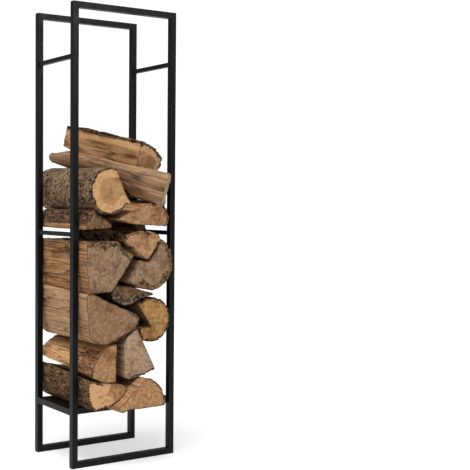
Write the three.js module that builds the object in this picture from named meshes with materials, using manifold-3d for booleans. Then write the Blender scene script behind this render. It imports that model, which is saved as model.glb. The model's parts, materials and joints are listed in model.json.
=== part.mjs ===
// Firewood log rack: two upright steel frames of mitred square tube, tied by thin crossbars and a
// folded shelf tray, and filled with split logs. Millimetres, +Z up, front towards -Y, origin on
// the floor under the middle of the rack.
import * as THREE from 'three';
import { mergeVertices } from 'three/addons/utils/BufferGeometryUtils.js';
import Module from 'manifold-3d';

const wasm = await Module();
wasm.setup();

// Driving dimensions
const WIDTH = 400;
const DEPTH = 260;
const HEIGHT = 1500;
const TUBE = 20;
const TUBE_WALL = 1.5;
const BAR = 14;
const BAR_WALL = 1.2;
const UPPER_BAR_Z = 1328;
const MIDDLE_BAR_Z = 757;
const SHELF_TOP_Z = 191.5;
const SHELF_SKIRT = 20;
const SHEET = 2;
const WELD_GAP = 0.3;
const BARK_STEP_DEG = 15;

const STEEL = { color: 0x17191b, roughness: 0.5, metalness: 0.35 };
const WOOD = { color: 0xb98d5f, roughness: 0.85, metalness: 0 };
const BARK = { color: 0x6d5a49, roughness: 0.95, metalness: 0 };
const GREY_WOOD = { color: 0xa08e78, roughness: 0.9, metalness: 0 };

const rack = new THREE.Group();

function addMesh(name, geometry, look) {
  const mesh = new THREE.Mesh(geometry, new THREE.MeshStandardMaterial(look));
  mesh.name = name;
  rack.add(mesh);
  return mesh;
}

function toSolid(geometry) {
  const bare = geometry.clone();
  bare.deleteAttribute('normal');
  bare.deleteAttribute('uv');
  const merged = mergeVertices(bare);
  const vertProperties = new Float32Array(merged.attributes.position.array);
  const triVerts = new Uint32Array(merged.index.array);
  return new wasm.Manifold(new wasm.Mesh({ numProp: 3, vertProperties, triVerts }));
}

function toGeometry(solid) {
  const { vertProperties, triVerts } = solid.getMesh();
  const geometry = new THREE.BufferGeometry();
  geometry.setAttribute('position', new THREE.BufferAttribute(vertProperties, 3));
  geometry.setIndex(new THREE.BufferAttribute(triVerts, 1));
  return geometry;
}

// --- Steel ---------------------------------------------------------------------------------

function squareLoop(side, Loop) {
  const half = side / 2;
  const loop = new Loop();
  loop.moveTo(-half, -half);
  loop.lineTo(half, -half);
  loop.lineTo(half, half);
  loop.lineTo(-half, half);
  loop.closePath();
  return loop;
}

/** Square tube along +Z from 0 to length, open at both ends. */
function squareTube(side, wall, length) {
  const section = squareLoop(side, THREE.Shape);
  section.holes.push(squareLoop(side - 2 * wall, THREE.Path));
  return new THREE.ExtrudeGeometry(section, { depth: length, bevelEnabled: false });
}

/** Frame tube with both ends cut at 45 degrees: full length on its -X side, shorter on +X. */
function mitredTube(length) {
  const geometry = squareTube(TUBE, TUBE_WALL, length);
  const position = geometry.attributes.position;
  for (let i = 0; i < position.count; i += 1) {
    const fromOuterSide = position.getX(i) + TUBE / 2;
    const atTop = position.getZ(i) > length / 2;
    position.setZ(i, atTop ? length - fromOuterSide : fromOuterSide);
  }
  return geometry;
}

/** Four mitred tubes in an upright rectangle, their centres in the plane Y = y. */
function addFrame(prefix, y) {
  const post = mitredTube(HEIGHT - 2 * WELD_GAP);
  const rail = mitredTube(WIDTH - 2 * WELD_GAP);
  const postX = (WIDTH - TUBE) / 2;
  const railX = WELD_GAP - WIDTH / 2;

  const leftPost = addMesh(`${prefix}_left_post`, post, STEEL);
  leftPost.position.set(-postX, y, WELD_GAP);

  const rightPost = addMesh(`${prefix}_right_post`, post, STEEL);
  rightPost.position.set(postX, y, WELD_GAP);
  rightPost.rotation.z = Math.PI;

  const topRail = addMesh(`${prefix}_top_rail`, rail, STEEL);
  topRail.position.set(railX, y, HEIGHT - TUBE / 2);
  topRail.rotation.y = Math.PI / 2;

  const bottomRail = addMesh(`${prefix}_bottom_rail`, rail, STEEL);
  bottomRail.position.set(railX, y, TUBE / 2);
  bottomRail.rotation.set(Math.PI, Math.PI / 2, 0);
}

/** Thin crossbars from front post to rear post, one on each side of the rack. */
function addCrossbars(prefix, z) {
  const length = DEPTH - 2 * TUBE - 2 * WELD_GAP;
  const bar = squareTube(BAR, BAR_WALL, length);
  bar.rotateX(-Math.PI / 2);
  const sides = { left: -1, right: 1 };
  for (const [side, sign] of Object.entries(sides)) {
    const mesh = addMesh(`${prefix}_${side}_bar`, bar, STEEL);
    mesh.position.set((sign * (WIDTH - TUBE)) / 2, -length / 2, z);
  }
}

/** Flat sheet between the two frames with its four edges folded down. */
function addShelf() {
  const depth = DEPTH - 2 * TUBE - 2 * WELD_GAP;
  const slab = toSolid(new THREE.BoxGeometry(WIDTH, depth, SHELF_SKIRT));
  const hollow = new THREE.BoxGeometry(WIDTH - 2 * SHEET, depth - 2 * SHEET, SHELF_SKIRT);
  hollow.translate(0, 0, -SHEET);
  const tray = addMesh('shelf_tray', toGeometry(slab.subtract(toSolid(hollow))), STEEL);
  tray.position.z = SHELF_TOP_Z - SHELF_SKIRT / 2;
}

addFrame('front', (TUBE - DEPTH) / 2);
addFrame('rear', (DEPTH - TUBE) / 2);
addCrossbars('upper', UPPER_BAR_Z);
addCrossbars('middle', MIDDLE_BAR_Z);
addShelf();

// --- Logs ----------------------------------------------------------------------------------

/** Points of a round stretch of bark, anticlockwise from one angle to the other. */
function barkArc([x, z], radius, fromDeg, toDeg) {
  const steps = Math.max(1, Math.round((toDeg - fromDeg) / BARK_STEP_DEG));
  return Array.from({ length: steps + 1 }, (_, i) => {
    const angle = THREE.MathUtils.degToRad(fromDeg + ((toDeg - fromDeg) * i) / steps);
    return [x + radius * Math.cos(angle), z + radius * Math.sin(angle)];
  });
}

/**
 * One split log. Its section is drawn anticlockwise as seen from its front end, about the point
 * `at` = [x, y, z] where that end lies. The log runs from there along local +Y, which `turn`
 * swings about Z and `rise` then lifts. `rear` scales the far end in x and z, about the local
 * origin.
 */
function addLog(name, look, { section, at, length, turn = 0, rise = 0, rear = [1, 1] }) {
  const shape = new THREE.Shape(section.map(([x, z]) => new THREE.Vector2(x, z)));
  const geometry = new THREE.ExtrudeGeometry(shape, { depth: length, bevelEnabled: false });
  geometry.rotateX(Math.PI / 2);
  geometry.translate(0, length, 0);
  const position = geometry.attributes.position;
  for (let i = 0; i < position.count; i += 1) {
    if (position.getY(i) > length / 2) {
      position.setX(i, position.getX(i) * rear[0]);
      position.setZ(i, position.getZ(i) * rear[1]);
    }
  }
  const log = addMesh(name, geometry, look);
  log.position.set(...at);
  const { degToRad } = THREE.MathUtils;
  log.rotation.set(degToRad(rise), 0, degToRad(turn), 'ZXY');
}

// Bottom row, on the shelf
const restZ = SHELF_TOP_Z + WELD_GAP;

addLog('log_bottom_quarter', WOOD, {
  section: [
    [-70, 98], [-74, 76], [-72, 50], [-66, 26], [-57, 8], [-46, 0],
    [-12, 6], [40, 24], [62, 42], [76, 62], [74, 69], [32, 78], [-13, 84],
  ],
  at: [-99, -182, restZ],
  length: 340,
  rear: [1, 1.2],
});

addLog('log_bottom_half', WOOD, {
  section: [
    [-83, 0], [79, 0], [92, 8], [86, 28], [78, 48], [68, 66], [54, 80], [34, 92], [14, 94],
    [-6, 82], [-26, 62], [-46, 38], [-66, 20], [-90, 5],
  ],
  at: [17, -215, restZ],
  length: 350,
  rear: [1, 0.8],
});

// Second row
addLog('log_low_quarter', WOOD, {
  section: [
    [43, 0], [40, -121], [-2, -121], [-52, -98], [-47, -67], [-32, -42], [-7, -12], [18, 0],
  ],
  at: [-102, -172, 398],
  length: 330,
  rear: [1.33, 0.66],
});

addLog('log_grey_wedge', GREY_WOOD, {
  section: [[-37, 5], [-20, -4], [45, 8], [82, 22], [10, 164], [-28, 138], [-45, 112]],
  at: [10, -172, 284],
  length: 330,
});

addLog('log_right_round', BARK, {
  section: [...barkArc([0, 0], 75, -118, 136), [-1, -25], [-46, -30], [-40, -54]],
  at: [90, -155, 470],
  length: 370,
});

addLog('log_left_slab', WOOD, {
  section: [
    [-76, 85], [-73, -16], [-63, -56], [-41, -71], [-11, -76], [19, -73], [78, -48], [108, -31],
    [120, -14], [123, 4], [113, 14], [88, 27], [9, 54], [-50, 83],
  ],
  at: [-97, -178, 478],
  length: 335,
  rise: 0.8,
  rear: [1, 1.08],
});

// Third row
addLog('log_small_half', BARK, {
  section: [
    [-70, 35], [-86, -2], [-70, -17], [-40, -29], [-20, -34], [10, -23], [40, -9], [78, -4],
    [78, 3], [28, 16], [-10, 30],
  ],
  at: [20, -150, 555],
  length: 310,
});

addLog('log_left_block', GREY_WOOD, {
  section: [
    [-76, 80], [-76, 6], [-68, -44], [-62, -88], [-16, -85], [22, -81], [49, -46], [105, 31],
    [70, 53], [40, 80],
  ],
  at: [-100, -175, 655],
  length: 335,
  rise: 0.8,
  rear: [1, 0.95],
});

addLog('log_right_half', GREY_WOOD, {
  section: [
    ...barkArc([0, 0], 92, -81, 57),
    [15, 23], [-1, 5], [-21, 5], [-36, 11], [-61, -23], [-81, -58], [-16, -86],
  ],
  at: [69, -175, 660],
  length: 335,
});

addLog('log_dark_bark', BARK, {
  section: [
    [0, -42], [11, -38], [58, 28], [48, 42], [13, 54], [-22, 52], [-50, 48], [-72, 40],
    [-86, 20],
  ],
  at: [55, -175, 713],
  length: 330,
  rise: 3,
});

addLog('log_inner_wedge', BARK, {
  section: [[-24, -14], [22, -18], [26, 12], [20, 30], [-22, 30], [-27, 10]],
  at: [142, -5, 756],
  length: 195,
  rise: 3,
});

// Fourth row
addLog('log_left_triangle', BARK, {
  section: [[60, 0], [-10, 53], [-24, 46], [-36, 28], [-41, 8], [-38, -10], [50, -8]],
  at: [-135, -168, 785],
  length: 325,
});

addLog('log_right_wedge', WOOD, {
  section: [
    [-108, 6], [-50, -8], [0, -15], [85, -18], [97, -10], [98, 12], [86, 42], [72, 62], [10, 53],
    [-50, 34], [-80, 20],
  ],
  at: [50, -168, 800],
  length: 330,
  rise: 3,
});

addLog('log_big_round', BARK, {
  section: [...barkArc([0, 0], 74, 75, 325), [80, -38], [62, -16], [47, 18]],
  at: [-89, -178, 896],
  length: 380,
  rise: 1,
});

addLog('log_inner_support', BARK, {
  section: [[-40, -28], [20, -30], [42, -12], [38, 16], [10, 32], [-30, 22]],
  at: [118, -30, 914],
  length: 225,
});

// Top, lying askew over the pile and propped up at the rear
addLog('log_cross_split', GREY_WOOD, {
  section: [
    [-30, -22], [-8, -40], [15, -44], [40, 15], [42, 30], [20, 44], [-32, 50], [-52, 26], [-45, 0],
  ],
  at: [122.5, -175.2, 908.8],
  length: 428,
  turn: 33,
  rise: 15.2,
  rear: [0.95, 0.62],
});

addLog('log_top_half', WOOD, {
  section: [[0, 0], [84, -3], [100, 17], [98, 42], [84, 52], [54, 74], [18, 84], [0, 87]],
  at: [76, -148, 970.3],
  length: 345,
  turn: 30,
  rise: 13.1,
});

export default rack;
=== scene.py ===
"""Firewood log rack: black powder-coated steel filled with split logs.

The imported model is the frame. The steel keeps its CAD nodes, with softened edges, a coat and weld
beads. Every log is rebuilt from the section of its own CAD node as one displaced mesh with bark,
split faces and sawn ends. Metres, +Z up, front towards -Y.
"""
import json
import math

import bmesh
import bpy
import numpy as np
from mathutils import Matrix, Vector
from mathutils.geometry import delaunay_2d_cdt


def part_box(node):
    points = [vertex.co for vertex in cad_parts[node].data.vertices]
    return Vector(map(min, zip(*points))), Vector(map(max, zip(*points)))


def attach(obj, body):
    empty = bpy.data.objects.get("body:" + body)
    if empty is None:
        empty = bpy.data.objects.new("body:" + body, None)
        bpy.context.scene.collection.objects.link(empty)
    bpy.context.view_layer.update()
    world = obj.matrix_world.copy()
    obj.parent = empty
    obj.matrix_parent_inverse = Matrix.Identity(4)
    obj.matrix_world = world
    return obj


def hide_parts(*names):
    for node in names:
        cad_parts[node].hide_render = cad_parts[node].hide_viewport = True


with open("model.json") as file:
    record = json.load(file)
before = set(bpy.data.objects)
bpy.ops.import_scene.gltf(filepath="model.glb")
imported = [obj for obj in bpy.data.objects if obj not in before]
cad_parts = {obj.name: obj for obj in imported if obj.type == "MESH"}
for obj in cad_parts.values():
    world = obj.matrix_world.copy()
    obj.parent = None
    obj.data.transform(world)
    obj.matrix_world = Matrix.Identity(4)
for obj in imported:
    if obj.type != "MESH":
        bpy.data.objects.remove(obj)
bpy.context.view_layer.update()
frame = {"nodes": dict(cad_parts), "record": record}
nodes = frame["nodes"]
scene = bpy.context.scene


# --- Camera ----------------------------------------------------------------------------------

SENSOR = 36.0
FOCAL_IN_IMAGE_SIDES = 2.04
CAMERA_PLACE = Vector((-1.72284, -2.78426, 0.8742))
CAMERA_YAW = math.radians(30.861)
CAMERA_PITCH = math.radians(-2.2)
CAMERA_ROLL = math.radians(0.192)
CAMERA_SHIFT = 0.3085
CLIP_START = 0.05
CLIP_END = 60.0


def add_camera():
    forward = Vector((
        math.sin(CAMERA_YAW) * math.cos(CAMERA_PITCH),
        math.cos(CAMERA_YAW) * math.cos(CAMERA_PITCH),
        math.sin(CAMERA_PITCH),
    ))
    right = Vector((math.cos(CAMERA_YAW), -math.sin(CAMERA_YAW), 0))
    up = right.cross(forward)
    rolled_right = right * math.cos(CAMERA_ROLL) + up * math.sin(CAMERA_ROLL)
    rolled_up = up * math.cos(CAMERA_ROLL) - right * math.sin(CAMERA_ROLL)
    data = bpy.data.cameras.new("camera")
    data.sensor_width = SENSOR
    data.lens = FOCAL_IN_IMAGE_SIDES * SENSOR
    data.shift_x = CAMERA_SHIFT
    data.clip_start = CLIP_START
    data.clip_end = CLIP_END
    camera = bpy.data.objects.new("camera", data)
    turn = Matrix((rolled_right, rolled_up, -forward)).transposed()
    camera.matrix_world = Matrix.Translation(CAMERA_PLACE) @ turn.to_4x4()
    scene.collection.objects.link(camera)
    scene.camera = camera


add_camera()


# --- Seeded noise ----------------------------------------------------------------------------

LATTICE = 64
lattice_values = np.random.default_rng(20).uniform(-1, 1, (LATTICE,) * 3)


def value_noise(points):
    """Smooth noise from -1 to 1 at an array of points, one cell per unit."""
    cell = np.floor(points).astype(int)
    part = points - cell
    part = part * part * (3 - 2 * part)
    total = np.zeros(points.shape[:-1])
    for corner in np.ndindex(2, 2, 2):
        weight = np.prod(np.where(corner, part, 1 - part), axis=-1)
        index = (cell + corner) % LATTICE
        total += weight * lattice_values[index[..., 0], index[..., 1], index[..., 2]]
    return total


def fractal_noise(points, octaves=3):
    total = np.zeros(points.shape[:-1])
    size = 1.0
    for octave in range(octaves):
        total += size * value_noise(points * 2.03**octave + 17.3 * octave)
        size *= 0.5
    return total


def smoothstep(low, high, x):
    t = np.clip((x - low) / (high - low), 0, 1)
    return t * t * (3 - 2 * t)


# --- Node materials --------------------------------------------------------------------------


class Shader:
    """A Principled material with short calls for the nodes that feed it."""

    def __init__(self, name, **sockets):
        self.material = bpy.data.materials.new(name)
        self.material.use_nodes = True
        self.nodes = self.material.node_tree.nodes
        self.links = self.material.node_tree.links
        self.principled = self.nodes["Principled BSDF"]
        for socket, value in sockets.items():
            self.principled.inputs[socket.replace("_", " ")].default_value = value

    def node(self, kind, inputs=(), **settings):
        made = self.nodes.new(kind)
        for key, value in settings.items():
            setattr(made, key, value)
        for key, value in dict(inputs).items():
            if isinstance(value, bpy.types.NodeSocket):
                self.links.new(value, made.inputs[key])
            else:
                made.inputs[key].default_value = value
        return made

    def feed(self, socket, value):
        self.links.new(value, self.principled.inputs[socket])

    def attribute(self, name, output="Fac"):
        return self.node("ShaderNodeAttribute", attribute_name=name).outputs[output]

    def math(self, operation, a, b=0.0):
        return self.node("ShaderNodeMath", {0: a, 1: b}, operation=operation).outputs[0]

    def scaled(self, vector, scale):
        made = self.node("ShaderNodeVectorMath", {0: vector, 1: scale}, operation="MULTIPLY")
        return made.outputs[0]

    def shifted(self, vector, offset):
        made = self.node("ShaderNodeVectorMath", {0: vector, 1: offset}, operation="ADD")
        return made.outputs[0]

    def noise(self, vector, scale=1.0, detail=4.0, roughness=0.55, distortion=0.0):
        inputs = {
            "Vector": vector,
            "Scale": scale,
            "Detail": detail,
            "Roughness": roughness,
            "Distortion": distortion,
        }
        return self.node("ShaderNodeTexNoise", inputs).outputs["Fac"]

    def ramp(self, value, *stops):
        """Colour ramp through (position, colour) stops."""
        made = self.node("ShaderNodeValToRGB", {"Fac": value})
        points = made.color_ramp.elements
        for i, (position, colour) in enumerate(stops):
            point = points[i] if i < 2 else points.new(position)
            point.position = position
            point.color = (*colour, 1)
        return made.outputs["Color"]

    def step(self, value, low, high):
        """0 below low, 1 above high, smooth between; the other way round if low > high."""
        inputs = {"Value": value, "From Min": low, "From Max": high}
        made = self.node("ShaderNodeMapRange", inputs, interpolation_type="SMOOTHSTEP")
        return made.outputs["Result"]

    def mix(self, factor, a, b, blend="MIX"):
        made = self.nodes.new("ShaderNodeMix")
        made.data_type = "RGBA"
        made.blend_type = blend
        for index, value in ((0, factor), (6, a), (7, b)):
            if isinstance(value, bpy.types.NodeSocket):
                self.links.new(value, made.inputs[index])
            elif index == 0:
                made.inputs[index].default_value = value
            else:
                made.inputs[index].default_value = (*value, 1)
        return made.outputs[2]

    def darken_by_stain_and_shade(self, colour, share, strength, tone):
        """The colour multiplied by the tone, by strength where share is 1."""
        return self.mix(self.math("MULTIPLY", share, strength), colour, tone, "MULTIPLY")

    def bump(self, height, distance, strength):
        inputs = {"Height": height, "Distance": distance, "Strength": strength}
        return self.node("ShaderNodeBump", inputs).outputs["Normal"]


def linear(red, green, blue):
    """Linear colour of 0 to 255 display values."""
    values = np.array((red, green, blue)) / 255
    low = values / 12.92
    high = ((values + 0.055) / 1.055) ** 2.4
    return tuple(float(v) for v in np.where(values <= 0.04045, low, high))


def powder_coat():
    """Near-black satin coat with a faint orange peel, worn a little lighter in blotches."""
    shader = Shader("powder_coat_black", Specular_IOR_Level=0.16)
    place = shader.node("ShaderNodeTexCoord").outputs["Object"]
    blotches = shader.noise(place, 14, 5, 0.6)
    shader.feed("Base Color", shader.ramp(
        blotches,
        (0.35, linear(6, 6, 7)),
        (0.52, linear(8, 8, 9)),
        (0.70, linear(11, 11, 12)),
    ))
    shader.feed("Roughness", shader.step(shader.noise(place, 40, 3), -1.5, 3.1))
    peel = shader.noise(place, 900, 2)
    shader.feed("Normal", shader.bump(peel, 0.0002, 0.08))
    return shader.material


# --- Steel -----------------------------------------------------------------------------------

EDGE_RADIUS = 0.0012
EDGE_SEGMENTS = 3
SHARP_EDGE = math.radians(40)
BEAD_RADIUS = 0.0016
SEAM_RADIUS = 0.0006
BEAD_SIDES = 8
BEAD_STEP = 0.0006
RIPPLE = 0.12
RIPPLE_TURN = 1.9
LUMPINESS = 0.1
LUMPS_PER_METRE = 300

coat = powder_coat()


def soften_edges(node):
    bevel = node.modifiers.new("edges", "BEVEL")
    bevel.width = EDGE_RADIUS
    bevel.segments = EDGE_SEGMENTS
    bevel.limit_method = "ANGLE"
    bevel.angle_limit = SHARP_EDGE
    bevel.harden_normals = True


def weld_bead(name, corners, seed, thickness=BEAD_RADIUS):
    """A rippled bead along a closed loop of corner points."""
    points = []
    for a, b in zip(corners, corners[1:] + corners[:1]):
        steps = max(2, round((b - a).length / BEAD_STEP))
        points += [a.lerp(b, i / steps) for i in range(steps)]
    path = np.array(points)
    for _ in range(4):
        path = (np.roll(path, 1, 0) + path * 2 + np.roll(path, -1, 0)) / 4
    along = np.roll(path, -1, 0) - np.roll(path, 1, 0)
    along /= np.linalg.norm(along, axis=1, keepdims=True)
    outward = path - path.mean(0)
    outward -= along * (outward * along).sum(1, keepdims=True)
    outward /= np.linalg.norm(outward, axis=1, keepdims=True)
    other = np.cross(along, outward)
    ripple = RIPPLE * np.sin(np.arange(len(path)) * RIPPLE_TURN + seed)
    ripple = 1 + ripple + LUMPINESS * value_noise(path * LUMPS_PER_METRE)
    turns = np.linspace(0, 2 * math.pi, BEAD_SIDES, endpoint=False)
    radius = (thickness * ripple)[:, None, None]
    rings = path[:, None] + radius * (
        np.cos(turns)[None, :, None] * outward[:, None]
        + np.sin(turns)[None, :, None] * other[:, None]
    )
    rows, sides = rings.shape[:2]
    faces = [
        (
            row * sides + side,
            (row + 1) % rows * sides + side,
            (row + 1) % rows * sides + (side + 1) % sides,
            row * sides + (side + 1) % sides,
        )
        for row in range(rows)
        for side in range(sides)
    ]
    mesh = bpy.data.meshes.new(name)
    mesh.from_pydata(rings.reshape(-1, 3).tolist(), [], faces)
    mesh.shade_smooth()
    mesh.materials.append(coat)
    bead = bpy.data.objects.new(name, mesh)
    scene.collection.objects.link(bead)
    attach(bead, "rack")


def rectangle_around(low, high, y):
    """Corners of the box's outline in the plane Y = y."""
    return [
        Vector((low.x, y, low.z)),
        Vector((high.x, y, low.z)),
        Vector((high.x, y, high.z)),
        Vector((low.x, y, high.z)),
    ]


def add_mitre_seams(post):
    """Ground weld seams where a post meets the rails above and below it at 45 degrees."""
    low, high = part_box(post)
    width = high.x - low.x
    outer, inner = (low.x, high.x) if low.x < 0 else (high.x, low.x)
    outer += math.copysign(SEAM_RADIUS, inner - outer)
    for level, outer_z, inner_z in (
        ("top", high.z - SEAM_RADIUS, high.z - width),
        ("bottom", low.z + SEAM_RADIUS, low.z + width),
    ):
        weld_bead(f"{post}_{level}_seam", [
            Vector((outer, low.y, outer_z)),
            Vector((inner, low.y, inner_z)),
            Vector((inner, high.y, inner_z)),
            Vector((outer, high.y, outer_z)),
        ], 1, SEAM_RADIUS)


def finish_steel():
    steel = frame["record"]["behaviour"]["bodies"]["rack"]
    for name in steel:
        nodes[name].data.materials.clear()
        nodes[name].data.materials.append(coat)
        soften_edges(nodes[name])
        if name.endswith("_post"):
            add_mitre_seams(name)
        if name.endswith("_bar"):
            low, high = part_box(name)
            weld_bead(f"{name}_front_weld", rectangle_around(low, high, low.y), 0)
            weld_bead(f"{name}_rear_weld", rectangle_around(low, high, high.y), 2)


finish_steel()


# --- Logs ------------------------------------------------------------------------------------

RING_STEP = 0.0024
LENGTH_STEP = 0.0040
CORNER_ROUNDING = 0.0022
NO_BARK = 0.2
RING_SPACING = 0.0062
WAVE_DEPTH = 0.0014
FIBRE_DEPTH = 0.0005
END_TILT = 0.0016
SAW_DEPTH = 0.0004
END_INSET = 0.0010
FRINGE_OF_WOOD = 0.0011
FRINGE_OF_BARK = 0.0022
BARK_FRINGE_GAIN = 0.0024
SPAN_FADE = 0.012


def tones(light, middle, dark):
    return linear(*light), linear(*middle), linear(*dark)


# Wood and bark tones, light to dark, as display values
TAN = tones((196, 152, 110), (164, 124, 86), (108, 74, 48))
FRESH = tones((214, 170, 122), (180, 134, 92), (92, 56, 36))
HEART = tones((190, 146, 100), (182, 138, 94), (150, 108, 70))
PALE_GREY = tones((192, 164, 134), (164, 136, 108), (122, 98, 74))
GREY_TAN = tones((172, 142, 112), (142, 114, 88), (92, 72, 54))
ORANGE_TAN = tones((190, 142, 96), (150, 108, 70), (82, 52, 32))
OCHRE = tones((196, 154, 96), (156, 116, 70), (108, 76, 46))
PEACH = tones((186, 150, 114), (162, 127, 95), (112, 82, 58))
DULL_PEACH = tones((164, 130, 98), (140, 108, 80), (98, 72, 50))
BROWN = tones((150, 116, 82), (112, 84, 58), (58, 40, 26))
DARK_BARK = tones((138, 104, 78), (84, 60, 44), (26, 17, 12))
RED_BARK = tones((160, 114, 82), (112, 76, 52), (40, 24, 15))
RED_FIBRE = tones((176, 130, 96), (136, 94, 66), (80, 50, 34))
BROWN_BARK = tones((186, 148, 112), (122, 92, 66), (38, 25, 16))
FAWN_BARK = tones((166, 138, 108), (116, 92, 70), (36, 26, 18))
MOSS_BARK = tones((142, 110, 78), (88, 66, 46), (34, 23, 15))
GREY_BARK = tones((156, 136, 112), (106, 88, 70), (38, 29, 22))
SAP = linear(214, 168, 120)
GREYED = linear(132, 114, 95)
STAIN = linear(186, 160, 134)
# Dark brown for the painted shade in sunk dents and round the rims of sawn ends, and for the dark
# seams along the bark.
SHADE_AND_SEAM_DARK = linear(70, 52, 40)

# Each look overrides these. Arcs are degrees about the section's middle, places are fractions of
# the section's box, lengths are metres. A swell is an arc, its height and its reach from the front;
# a negative one with a short reach takes a whole one back near the front.
# A skew moves the near side of the front end back into the log.
WHOLE = 9.0
PLAIN_LOOK = {
    "pith": (0.5, 0.5),
    "bark": [],
    "bark_span": (-1.0, 1.0),
    "furrow": 0.0030,
    "flare": 0.0,
    "swell": [],
    "side": TAN,
    "end": TAN,
    "crust": DARK_BARK,
    "rind": 0.0045,
    "rind_below": 0.0,
    "rind_tones": None,
    "sap": 0.0,
    "grey": 0.1,
    "worn": 0.3,
    "front_skew": 0.0,
    "rear_taper": None,
    "torn": 0.0012,
    "plates": (95, 26),
}

LOGS = {
    "log_bottom_quarter": dict(
        pith=(1.0, 0.9), bark=[(118, 262)], furrow=0.0036, plates=(150, 50), crust=MOSS_BARK,
        sap=0.034, rind=0.003,
    ),
    "log_bottom_half": dict(
        pith=(0.3, -0.2), bark=[(-28, 62)], furrow=0.0026, flare=0.003, crust=RED_BARK, grey=0.0,
        worn=-0.5, torn=0.0004, swell=[(165, 215, 0.007, 0.12)],
    ),
    "log_low_quarter": dict(
        pith=(0.95, 0.9), bark=[(100, 222)], bark_span=(-1.0, 0.09), furrow=0.0014,
        side=FRESH, crust=RED_FIBRE, plates=(150, 22), grey=0.0, worn=0.9, rind=0.002,
    ),
    "log_grey_wedge": dict(
        pith=(0.3, 0.95), bark=[(-112, -48)], furrow=0.0020, side=GREY_TAN, end=PALE_GREY,
        crust=GREY_BARK, grey=0.5,
    ),
    "log_right_round": dict(
        pith=(0.5, 0.5), bark=[(-118, 130)], furrow=0.0025, side=BROWN, end=OCHRE, grey=0.15,
        rind=0.006, worn=0.8,
    ),
    "log_left_slab": dict(
        pith=(0.1, 0.9), bark=[(-100, 20)], furrow=0.0018, side=PEACH, end=DULL_PEACH,
        crust=DARK_BARK, grey=0.3, worn=0.3, swell=[(70, 165, 0.0035, WHOLE)],
    ),
    "log_small_half": dict(
        pith=(0.45, 0.9), bark=[(175, 352)], furrow=0.0036, flare=0.003, side=OCHRE, end=BROWN,
        crust=GREY_BARK, grey=0.3, rind=0.012,
    ),
    "log_left_block": dict(
        pith=(0.35, -0.1), bark=[(28, 135)], furrow=0.0036, flare=0.004, side=ORANGE_TAN,
        end=GREY_TAN, crust=GREY_BARK, grey=0.45, worn=0.6, torn=0.0024, rind=0.018,
        rind_tones=BROWN,
    ),
    "log_right_half": dict(
        pith=(0.4, 0.5), bark=[(-112, 62)], furrow=0.0036, flare=0.004, side=GREY_TAN,
        end=GREY_TAN, crust=BROWN_BARK, grey=0.3, rind=0.006, rind_below=0.012,
        rind_tones=BROWN,
    ),
    "log_dark_bark": dict(
        pith=(0.6, 0.0), bark=[(0, 200)], furrow=0.0046, flare=0.003, sap=0.004, grey=0.0,
        rind=0.003, crust=BROWN_BARK,
        swell=[(145, 190, 0.016, WHOLE), (145, 190, -0.016, 0.13)],
    ),
    "log_inner_wedge": dict(
        pith=(0.5, 0.2), bark=[(0, 360)], side=BROWN, end=BROWN, grey=0.2,
    ),
    "log_left_triangle": dict(
        pith=(0.2, 0.1), bark=[(18, 195)], furrow=0.0033, plates=(130, 50), end=BROWN, grey=0.2,
        rind=0.006,
    ),
    "log_right_wedge": dict(
        pith=(0.4, 0.5), bark=[(-25, 50)], furrow=0.0040, flare=0.005, crust=RED_BARK, grey=0.05,
        swell=[(50, 120, 0.003, 0.2)],
    ),
    "log_big_round": dict(
        pith=(0.45, 0.5), bark=[(78, 326)], furrow=0.0026, crust=FAWN_BARK, sap=0.030, grey=0.0,
        rind_tones=DARK_BARK,
        end=HEART, worn=-0.6, rind=0.005, plates=(80, 110), swell=[(60, 150, 0.003, WHOLE)],
    ),
    "log_inner_support": dict(
        pith=(0.5, 0.2), bark=[(0, 360)], side=BROWN, end=BROWN, grey=0.2,
        swell=[(-150, 60, 0.006, 0.2), (-60, 60, 0.006, 0.2), (-150, -10, 0.008, 0.1)],
    ),
    "log_cross_split": dict(
        pith=(0.1, 0.9), side=PEACH, end=PALE_GREY, crust=GREY_BARK, grey=0.55, torn=0.0022,
        worn=0.5, front_skew=-0.022, rear_taper=(0.42, (0.2, 0.28), 0.07),
        swell=[(20, 110, 0.003, WHOLE), (-150, -60, 0.020, 0.15)],
    ),
    "log_top_half": dict(
        pith=(0.1, 0.4), bark=[(-40, 147)], furrow=0.0048, flare=0.006, end=TAN, sap=0.022,
        rind=0.006, front_skew=0.045, rear_taper=(0.16, (0.7, 0.5), 0.05),
        swell=[(-120, -60, 0.004, WHOLE)],
    ),
}


def ordered_end(bm, outward):
    """The corner points, in order round it, of the flat end that faces outward."""
    cap = {f for f in bm.faces if f.normal.dot(outward) > 0.999}
    rim = {e for f in cap for e in f.edges if sum(g in cap for g in e.link_faces) == 1}
    edge = next(iter(sorted(rim, key=lambda e: e.index)))
    start, at = edge.verts[0], edge.verts[1]
    loop = [start]
    while at is not start:
        loop.append(at)
        edge = next(e for e in at.link_edges if e in rim and e is not edge)
        at = edge.other_vert(at)
    return np.array([v.co[:] for v in loop])


def without_straight_points(points):
    """Drops points that lie on a straight line between their neighbours."""
    before = points - np.roll(points, 1, 0)
    after = np.roll(points, -1, 0) - points
    bend = before[:, 0] * after[:, 1] - before[:, 1] * after[:, 0]
    size = np.linalg.norm(before, axis=1) * np.linalg.norm(after, axis=1)
    return points[np.abs(bend) > 1e-3 * size]


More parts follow.
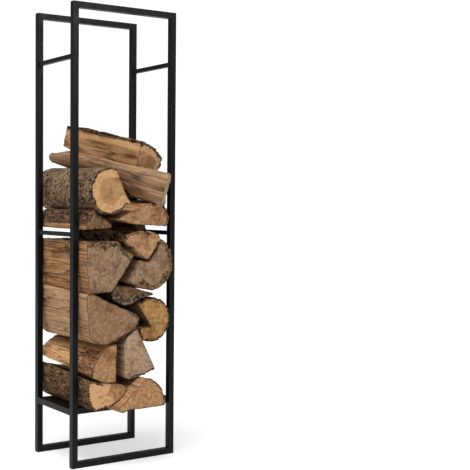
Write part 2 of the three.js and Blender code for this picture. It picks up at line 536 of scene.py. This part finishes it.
def read_section(name, axis):
    """The log's front and rear outlines about its axis, where the front is, and its length."""
    bm = bmesh.new()
    bm.from_mesh(nodes[name].data)
    bmesh.ops.remove_doubles(bm, verts=bm.verts, dist=1e-5)
    bm.edges.index_update()
    bm.normal_update()
    across = axis.cross(Vector((0, 0, 1))).normalized()
    upward = across.cross(axis)
    plane = np.array((across, upward)).T
    front, rear = ordered_end(bm, -axis), ordered_end(bm, axis)
    bm.free()
    length = float((rear.mean(0) - front.mean(0)) @ np.array(axis))
    origin = front.mean(0)
    loops = []
    for loop in (front, rear):
        flat = without_straight_points((loop - origin) @ plane)
        turning = flat[:, 0] @ np.roll(flat[:, 1], -1) - flat[:, 1] @ np.roll(flat[:, 0], -1)
        loops.append(flat if turning > 0 else flat[::-1])
    front, rear = loops
    centred = rear - rear.mean(0)
    target = front - front.mean(0)
    turns = [np.abs(np.roll(centred, k, 0) - target).sum() for k in range(len(rear))]
    rear = np.roll(rear, int(np.argmin(turns)), 0)
    return front, rear, origin, (across, upward, axis), length


def eased(values, rounds):
    """Values round a loop, blended with their neighbours."""
    for _ in range(rounds):
        values = (np.roll(values, 1, 0) + values * 2 + np.roll(values, -1, 0)) / 4
    return values


def fine_loops(front, rear):
    """Both outlines at the same fine steps, with slightly rounded corners."""
    fine_front, fine_rear = [], []
    for i in range(len(front)):
        j = (i + 1) % len(front)
        steps = max(1, round(np.linalg.norm(front[j] - front[i]) / RING_STEP))
        for k in range(steps):
            fine_front.append(front[i] + (front[j] - front[i]) * k / steps)
            fine_rear.append(rear[i] + (rear[j] - rear[i]) * k / steps)
    rounds = round((CORNER_ROUNDING / RING_STEP) ** 2 * 2) + 1
    return eased(np.array(fine_front), rounds), eased(np.array(fine_rear), rounds)


def arc_share(loop, arcs):
    """1 on the stretches of the outline inside the arcs, 0 elsewhere."""
    middle = (loop.min(0) + loop.max(0)) / 2
    angle = np.degrees(np.arctan2(loop[:, 1] - middle[1], loop[:, 0] - middle[0]))
    share = np.zeros(len(loop))
    for start, end in arcs:
        share[(angle - start) % 360 <= end - start] = 1
    return share


def distance_to(points, targets):
    if not len(targets):
        return np.full(len(points), NO_BARK)
    return np.linalg.norm(points[:, None] - targets[None], axis=2).min(1)


def fill_outline(loop):
    """Triangles across an outline: the outline's points first, then inner ones."""
    step = RING_STEP * 1.15
    low, high = loop.min(0), loop.max(0)
    columns = np.arange(low[0], high[0], step)
    rows = np.arange(low[1], high[1], step * 0.87)
    grid = np.array([
        (x + (i % 2) * step / 2, z) for i, z in enumerate(rows) for x in columns
    ])
    following = np.roll(loop, -1, 0)
    crosses = (loop[None, :, 1] > grid[:, 1:]) != (following[None, :, 1] > grid[:, 1:])
    slope = (following[:, 0] - loop[:, 0]) / (following[:, 1] - loop[:, 1] + 1e-12)
    at = loop[None, :, 0] + slope[None] * (grid[:, 1:] - loop[None, :, 1])
    inside = ((crosses & (grid[:, :1] < at)).sum(1) % 2).astype(bool)
    grid = grid[inside & (distance_to(grid, loop) > step * 0.6)]
    points = [Vector(p) for p in np.vstack((loop, grid))]
    border = [(i, (i + 1) % len(loop)) for i in range(len(loop))]
    made = delaunay_2d_cdt(points, border, [], 1, 1e-7)
    return np.array([v[:] for v in made[0]]), np.array(made[2])


def surface_depth(around, bark, look, seed):
    """Outward displacement over the side of a log, and how deep in a furrow each point is."""
    x, z, y = around[..., 0], around[..., 1], around[..., 2]
    shift = 13.7 * seed
    across, along = look["plates"]
    plates = np.stack((x * across + shift, z * across, y * along), -1)
    warp = value_noise(plates * 0.7 + 5)[..., None] * (0.5, 0.5, 0.2)
    ridges = np.abs(fractal_noise(plates + warp, 3))
    cavity = 1 - smoothstep(0.02, 0.34, ridges)
    crumbs = fractal_noise(np.stack((x * 330, z * 330 + shift, y * 200), -1), 2)
    lumps = fractal_noise(np.stack((x * 30, z * 30 + shift, y * 16), -1), 2)
    bark_depth = look["furrow"] * (0.1 - cavity * 0.95 + 0.2 * crumbs + 0.45 * lumps)
    waves = fractal_noise(np.stack((x * 22 + shift, z * 22, y * 5), -1), 2)
    fibres = fractal_noise(np.stack((x * 210, z * 210 + shift, y * 6), -1), 2)
    faults = np.abs(value_noise(np.stack((x * 55 + shift, z * 55, y * 4.5), -1)))
    open_fault = 1 - smoothstep(0.0, 0.12, faults)
    split_depth = WAVE_DEPTH * waves + FIBRE_DEPTH * fibres - look["torn"] * open_fault
    depth = bark * bark_depth + (1 - bark) * split_depth
    return depth, bark * cavity + (1 - bark) * open_fault * 0.6


def end_depth(points, seed):
    """How far a sawn end stands out: nearly flat, with saw ridges and a slight tilt."""
    x, z = points[:, 0], points[:, 1]
    flat = np.stack((x * 14 + seed * 7.1, z * 14, x * 0 + seed), -1)
    sawn = np.stack((x * 60 + z * 240, z * 60 - x * 40, x * 0 + seed), -1)
    return END_TILT * value_noise(flat) + SAW_DEPTH * value_noise(sawn) - END_INSET


def build_log(name, axis, look, seed):
    look = {**PLAIN_LOOK, **look}
    front, rear, origin, axes, length = read_section(name, axis)
    front, rear = fine_loops(front, rear)
    count = len(front)
    rows = max(2, round(length / LENGTH_STEP)) + 1
    share = np.linspace(0, 1, rows)[:, None]
    rings = front[None] * (1 - share[..., None]) + rear[None] * share[..., None]

    low, high = front.min(0), front.max(0)
    pith = low + (high - low) * np.array(look["pith"])
    bark_line = arc_share(front, look["bark"])

    # Ends: a slanted cut, and a fringe of broken fibres and bark round it.
    def cut(across):
        return look["front_skew"] * (high[0] - across) / (high[0] - low[0])

    along = cut(rings[..., 0]) * (1 - share) + length * share
    fringe = value_noise(np.column_stack((front * 130, np.full(count, seed * 1.7))))
    fringe = FRINGE_OF_WOOD * fringe + bark_line * (FRINGE_OF_BARK + BARK_FRINGE_GAIN * fringe)
    along = along + fringe * (smoothstep(0.05, 0, share) - smoothstep(0.95, 1, share))
    if look["rear_taper"]:
        amount, place, reach = look["rear_taper"]
        target = low + (high - low) * np.array(place)
        nearness = smoothstep(reach, 0, length - along)[..., None]
        rings = target + (rings - target) * (1 - amount * nearness)

    # The bark's edge wanders along the log.
    place = np.concatenate((rings, along[..., None]), -1)
    soft = eased(bark_line, 4)
    border = (soft * (1 - soft) * 4)[None]
    wander = 0.3 * fractal_noise(place * 60 + seed * 3.3, 2)
    bark = smoothstep(0.35, 0.65, soft[None] + wander * border)
    span_start, span_end = look["bark_span"]
    reach = along + 0.03 * fractal_noise(place * 26 + seed, 3)
    bark = bark * smoothstep(span_start, span_start + SPAN_FADE, reach)
    bark = bark * smoothstep(span_end + SPAN_FADE, span_end, reach)

    tangent = np.roll(rings, -1, 1) - np.roll(rings, 1, 1)
    normal = np.stack((tangent[..., 1], -tangent[..., 0]), -1)
    normal /= np.linalg.norm(normal, axis=-1, keepdims=True) + 1e-9
    depth, cavity = surface_depth(place, bark, look, seed)
    ragged = 0.5 + 0.7 * value_noise(place * (90, 90, 130) + seed)
    depth = depth + look["flare"] * border * bark * ragged
    for start, end, amount, reach in look["swell"]:
        swollen = eased(arc_share(front, [(start, end)]), 8)
        depth = depth + amount * swollen * smoothstep(reach, reach * 0.6, along)
    rings = rings + normal * depth[..., None]

    side_points = np.concatenate((rings, along[..., None]), -1).reshape(-1, 3)
    side_rim = distance_to(front, front[bark_line > 0.5])
    side_rim = np.broadcast_to(side_rim[None], (rows, count)).reshape(-1)
    faces = [
        (
            row * count + i,
            row * count + (i + 1) % count,
            (row + 1) * count + (i + 1) % count,
            (row + 1) * count + i,
        )
        for row in range(rows - 1)
        for i in range(count)
    ]
    side_faces = len(faces)
    points = [side_points]
    rims = [side_rim]
    edges = [np.full(len(side_points), 0.0)]
    barks = [bark.reshape(-1)]
    cavities = [cavity.reshape(-1)]
    total = len(side_points)
    for row, base, outward in ((0, 0.0, -1), (rows - 1, length, 1)):
        loop = rings[row]
        flat, triangles = fill_outline(loop)
        inner = flat[count:]
        to_edge = distance_to(inner, loop)
        plane = base + (cut(inner[:, 0]) if row == 0 else 0)
        stand = end_depth(inner, seed + outward) * outward
        stand = stand * smoothstep(0, 0.006, to_edge)
        points.append(np.column_stack((inner, plane + stand)))
        rims.append(distance_to(inner, loop[bark_line > 0.5]))
        edges.append(to_edge)
        barks.append(np.zeros(len(inner)))
        cavities.append(np.zeros(len(inner)))
        index = np.concatenate((row * count + np.arange(count), total + np.arange(len(inner))))
        turned = triangles if outward > 0 else triangles[:, ::-1]
        faces += index[turned].tolist()
        total += len(inner)

    local = np.vstack(points)
    world = origin + local @ np.array(axes)
    mesh = bpy.data.meshes.new(f"{name}_wood")
    mesh.from_pydata(world.tolist(), [], faces)
    grain = local - (*pith, 0)
    add_attribute(mesh, "grain", "FLOAT_VECTOR", grain)
    add_attribute(mesh, "rim", "FLOAT", np.concatenate(rims))
    add_attribute(mesh, "edge", "FLOAT", np.concatenate(edges))
    add_attribute(mesh, "bark", "FLOAT", np.concatenate(barks))
    add_attribute(mesh, "cavity", "FLOAT", np.concatenate(cavities))
    mesh.materials.append(side_material(name, look, seed))
    mesh.materials.append(end_material(name, look, seed))
    slots = np.zeros(len(faces), dtype=np.int32)
    slots[side_faces:] = 1
    mesh.polygons.foreach_set("material_index", slots)
    mesh.shade_smooth()
    log = bpy.data.objects.new(f"{name}_wood", mesh)
    scene.collection.objects.link(log)
    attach(log, name)
    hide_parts(name)


def add_attribute(mesh, name, kind, values):
    field = "vector" if kind == "FLOAT_VECTOR" else "value"
    layer = mesh.attributes.new(name, kind, "POINT")
    layer.data.foreach_set(field, np.ascontiguousarray(values, dtype=np.float32).ravel())


def thin_lines(shader, value, width):
    """1 on the lines where a noise crosses its middle value."""
    off = shader.math("ABSOLUTE", shader.math("SUBTRACT", value, 0.5))
    return shader.step(off, width, width * 0.2)


def side_material(name, look, seed):
    """Split wood with streaks and cracks along the grain, and bark where the log carries it."""
    shader = Shader(f"{name}_side", Specular_IOR_Level=0.2)
    grain = shader.shifted(shader.attribute("grain", "Vector"), (seed * 0.37, 0, seed * 0.83))

    def grained(across, along, *settings):
        """Noise with so many cells a metre across and along the grain."""
        return shader.noise(shader.scaled(grain, (across, across, along)), *settings)

    light, middle, dark = look["side"]
    streaks = grained(230, 8, 1, 6, 0.65, 0.6)
    wood = shader.ramp(streaks, (0.34, dark), (0.48, middle), (0.64, light))
    broad = grained(30, 9, 1, 4, 0.6)
    wood = shader.mix(shader.step(broad, 0.50, 0.72), wood, light)
    wood = shader.mix(shader.step(broad, 0.48, 0.28), wood, STAIN, "MULTIPLY")
    greyness = grained(38, 14, 1, 5, 0.6)
    grey = look["grey"]
    wood = shader.mix(shader.step(greyness, 0.68 - grey * 0.4, 0.95 - grey * 0.4), wood, GREYED)
    worn = look["worn"]
    smudges = grained(42, 20, 1.3, 5, 0.6)
    smudges = shader.step(smudges, 0.66 - worn * 0.14, 0.80 - worn * 0.14)
    wood = shader.darken_by_stain_and_shade(wood, smudges, 0.4, STAIN)
    crack_field = grained(64, 4.5, 1, 4, 0.55, 0.5)
    crack_place = grained(30, 12, 1, 2)
    cracks = thin_lines(shader, crack_field, 0.012)
    shown = shader.step(crack_place, 0.60 - worn * 0.18, 0.68 - worn * 0.18)
    cracks = shader.math("MULTIPLY", cracks, shown)
    wood = shader.darken_by_stain_and_shade(wood, cracks, 0.85, dark)
    if look["sap"]:
        wobble = shader.math("MULTIPLY", grained(60, 20), 0.014)
        near = shader.math("ADD", shader.attribute("rim"), wobble)
        sap = shader.step(near, look["sap"] + 0.014, look["sap"] + 0.002)
        wood = shader.mix(shader.math("MULTIPLY", sap, 0.7), wood, SAP)
    # Painted shade: the wood is darkened where its surface is sunk, the deeper the darker.
    cavity = shader.attribute("cavity")
    wood = shader.mix(cavity, wood, SHADE_AND_SEAM_DARK, "MULTIPLY")

    raised, body, deep = look["crust"]
    flecks = grained(380, 170, 1, 5, 0.75)
    crust = shader.ramp(flecks, (0.36, deep), (0.49, body), (0.62, raised))
    patches = grained(55, 34, 1, 5, 0.65)
    crust = shader.mix(shader.step(patches, 0.50, 0.68), crust, raised)
    crust = shader.mix(shader.step(patches, 0.46, 0.32), crust, STAIN, "MULTIPLY")
    # Partly the bark's own darker furrows, partly painted shade: the deeper a furrow, the more it
    # takes the deep bark tone.
    crust = shader.mix(shader.step(cavity, 0.15, 0.9), crust, deep)

    ragged = grained(240, 120, 1, 4, 0.6)
    edge = shader.math("ADD", shader.attribute("bark"), shader.math("MULTIPLY", ragged, 0.5))
    bark_share = shader.step(edge, 0.55, 0.85)
    colour = shader.mix(bark_share, wood, crust)
    outline = shader.step(edge, 0.42, 0.62)
    outline = shader.math("MULTIPLY", outline, shader.step(edge, 0.98, 0.78))
    colour = shader.darken_by_stain_and_shade(colour, outline, 0.55, SHADE_AND_SEAM_DARK)
    shader.feed("Base Color", colour)
    shader.feed("Roughness", shader.step(streaks, -1.6, 0.9))
    fibre = shader.math("SUBTRACT", shader.math("MULTIPLY", streaks, 0.8), cracks)
    height = shader.mix(bark_share, fibre, flecks)
    shader.feed("Normal", shader.bump(height, 0.0022, 0.7))
    return shader.material


def end_material(name, look, seed):
    """Sawn end: rings about the pith, paler sapwood under the bark, checks and saw marks."""
    shader = Shader(f"{name}_end", Roughness=0.85, Specular_IOR_Level=0.2)
    across = shader.scaled(shader.attribute("grain", "Vector"), (1, 1, 0))
    flat = shader.shifted(across, (0, 0, seed * 0.61))
    light, middle, dark = look["end"]
    length = shader.node("ShaderNodeVectorMath", {0: across}, operation="LENGTH")
    wobble = shader.noise(flat, 30, 4, 0.55)
    radius = shader.math("ADD", length.outputs["Value"], shader.math("MULTIPLY", wobble, 0.02))
    rings = shader.math("SINE", shader.math("MULTIPLY", radius, 2 * math.pi / RING_SPACING))
    mottle = shader.noise(flat, 95, 5, 0.55)
    direction = shader.node("ShaderNodeVectorMath", {0: across}, operation="NORMALIZE")
    direction = shader.shifted(direction.outputs["Vector"], (seed * 1.7, 0, 0))
    rays = shader.noise(direction, 26, 5, 0.7)
    turned = shader.node("ShaderNodeVectorRotate", {"Vector": flat, "Angle": 0.9 * seed})
    saw = shader.noise(shader.scaled(turned.outputs["Vector"], (34, 300, 1)), 1, 4, 0.6)
    tone = shader.math("ADD", mottle, shader.math("MULTIPLY", rings, 0.028))
    tone = shader.math("ADD", tone, shader.math("MULTIPLY", rays, 0.30))
    tone = shader.math("ADD", tone, shader.math("MULTIPLY", saw, 0.40))
    tone = shader.math("SUBTRACT", tone, 0.35)
    wood = shader.ramp(tone, (0.05, dark), (0.47, middle), (0.66, light))
    broad = shader.noise(flat, 18, 3, 0.55)
    pale = shader.math("MULTIPLY", shader.step(broad, 0.52, 0.72), 0.6)
    wood = shader.mix(pale, wood, light)
    wood = shader.darken_by_stain_and_shade(wood, shader.step(broad, 0.50, 0.34), 0.6, STAIN)
    greyness = shader.noise(flat, 40, 5, 0.65)
    grey = look["grey"]
    wood = shader.mix(shader.step(greyness, 0.72 - grey * 0.4, 1.0 - grey * 0.4), wood, GREYED)
    rim = shader.attribute("rim")
    ragged = shader.math("MULTIPLY", shader.noise(flat, 210, 4, 0.6), 0.006)
    near = shader.math("ADD", rim, shader.math("SUBTRACT", ragged, 0.003))
    if look["sap"]:
        sap_edge = shader.math("MULTIPLY", shader.noise(flat, 24, 2), 0.016)
        sap_edge = shader.math("ADD", rim, shader.math("SUBTRACT", sap_edge, 0.008))
        sap_share = shader.step(sap_edge, look["sap"] + 0.002, look["sap"] - 0.001)
        sap_tone = shader.mix(shader.step(tone, 0.36, 0.56), light, SAP)
        wood = shader.mix(sap_share, wood, sap_tone)
    worn = look["worn"]
    stains = shader.noise(flat, 60, 5, 0.65)
    stains = shader.step(stains, 0.66 - worn * 0.14, 0.80 - worn * 0.14)
    wood = shader.darken_by_stain_and_shade(wood, stains, 0.3, STAIN)
    # Painted shade: a dark band just inside the rim of each sawn end.
    shadow = shader.math("ADD", shader.attribute("edge"), shader.math("SUBTRACT", ragged, 0.003))
    wood = shader.darken_by_stain_and_shade(wood, shader.step(shadow, 0.0045, 0.0005), 0.7, SHADE_AND_SEAM_DARK)
    raised, body, deep = look["rind_tones"] or look["crust"]
    bark = shader.ramp(mottle, (0.38, deep), (0.50, body), (0.64, raised))
    uneven = shader.step(shader.noise(flat, 20, 3), 0.25, 0.75)
    near = shader.math("MULTIPLY", near, shader.math("ADD", uneven, 0.5))
    height = shader.node("ShaderNodeSeparateXYZ", {0: across}).outputs["Y"]
    below = shader.math("MULTIPLY", shader.step(height, -0.005, -0.03), look["rind_below"])
    near = shader.math("SUBTRACT", near, below)
    rind = look["rind"]
    seam = shader.math("SUBTRACT", shader.step(near, rind + 0.0022, rind + 0.0006),
                       shader.step(near, rind - 0.0002, rind - 0.0014))
    wood = shader.mix(shader.step(near, rind + 0.001, rind - 0.001), wood, bark)
    wood = shader.darken_by_stain_and_shade(wood, seam, 0.75, SHADE_AND_SEAM_DARK)
    check_field = shader.noise(direction, 9, 2, 0.5)
    check_place = shader.noise(flat, 45, 2)
    checks = thin_lines(shader, check_field, 0.008)
    checks = shader.math("MULTIPLY", checks, shader.step(check_place, 0.50, 0.58))
    checks = shader.math("MULTIPLY", checks, shader.step(radius, 0.012, 0.030))
    wood = shader.mix(shader.math("MULTIPLY", checks, 0.9), wood, deep)
    shader.feed("Base Color", wood)
    height = shader.math("ADD", shader.math("MULTIPLY", saw, 0.5), mottle)
    height = shader.math("SUBTRACT", height, shader.math("MULTIPLY", checks, 2.0))
    shader.feed("Normal", shader.bump(height, 0.0014, 0.35))
    return shader.material


def rear_end_normal(name):
    """The way a log points: its flat rear end faces that way."""
    return max((f.normal for f in nodes[name].data.polygons), key=lambda n: n.y).copy()


def build_logs():
    for seed, (name, look) in enumerate(LOGS.items(), 1):
        build_log(name, rear_end_normal(name), look, seed)


build_logs()


# --- Floor, light ----------------------------------------------------------------------------

FLOOR_HALF = 9.0
SUN_SOFTNESS = math.radians(40)
ROOM_LIGHT = 0.40
FLOOR_GLOW = 0.60
BACKDROP = 1.1
KEY_DIRECTION = (0.38, 0.22, -1.0)
KEY_STRENGTH = 2.9
PANEL_PLACE = (1.15, -3.1, 2.6)
PANEL_TARGET = (-0.1, -0.1, 1.3)
PANEL_SIZE = (0.8, 1.4)
PANEL_POWER = 44


def add_floor():
    bm = bmesh.new()
    bmesh.ops.create_grid(bm, x_segments=8, y_segments=8, size=FLOOR_HALF)
    mesh = bpy.data.meshes.new("floor")
    bm.to_mesh(mesh)
    bm.free()
    shader = Shader(
        "floor_white",
        Roughness=0.9,
        Specular_IOR_Level=0.1,
        Emission_Color=(1, 1, 1, 1),
        Emission_Strength=FLOOR_GLOW,
    )
    place = shader.node("ShaderNodeTexCoord").outputs["Object"]
    tone = shader.noise(place, 3, 2)
    shader.feed("Base Color", shader.ramp(tone, (0.3, (0.44,) * 3), (0.7, (0.46,) * 3)))
    mesh.materials.append(shader.material)
    floor = bpy.data.objects.new("floor", mesh)
    scene.collection.objects.link(floor)


def add_sun(name, direction, strength, softness):
    data = bpy.data.lights.new(name, "SUN")
    data.energy = strength
    data.angle = softness
    sun = bpy.data.objects.new(name, data)
    sun.rotation_mode = "QUATERNION"
    sun.rotation_quaternion = Vector(direction).to_track_quat("-Z", "Y")
    scene.collection.objects.link(sun)


def add_panel(name, place, target, size, power):
    """A panel that is seen only as a sheen: it adds no diffuse light."""
    data = bpy.data.lights.new(name, "AREA")
    data.shape = "RECTANGLE"
    data.size, data.size_y = size
    data.energy = power
    panel = bpy.data.objects.new(name, data)
    panel.location = place
    panel.rotation_mode = "QUATERNION"
    aim = Vector(target) - Vector(place)
    panel.rotation_quaternion = aim.to_track_quat("-Z", "Y")
    panel.visible_diffuse = False
    scene.collection.objects.link(panel)


def add_world():
    world = bpy.data.worlds.new("studio")
    world.use_nodes = True
    tree = world.node_tree
    background = tree.nodes["Background"]
    background.inputs["Color"].default_value = (1, 1, 1, 1)
    path = tree.nodes.new("ShaderNodeLightPath")
    strength = tree.nodes.new("ShaderNodeMapRange")
    strength.inputs["To Min"].default_value = ROOM_LIGHT
    strength.inputs["To Max"].default_value = BACKDROP
    tree.links.new(path.outputs["Is Camera Ray"], strength.inputs["Value"])
    tree.links.new(strength.outputs["Result"], background.inputs["Strength"])
    scene.world = world


add_floor()
add_world()
add_sun("key_sun", KEY_DIRECTION, KEY_STRENGTH, SUN_SOFTNESS)
add_panel("front_panel", PANEL_PLACE, PANEL_TARGET, PANEL_SIZE, PANEL_POWER)
scene.view_settings.view_transform = "Standard"
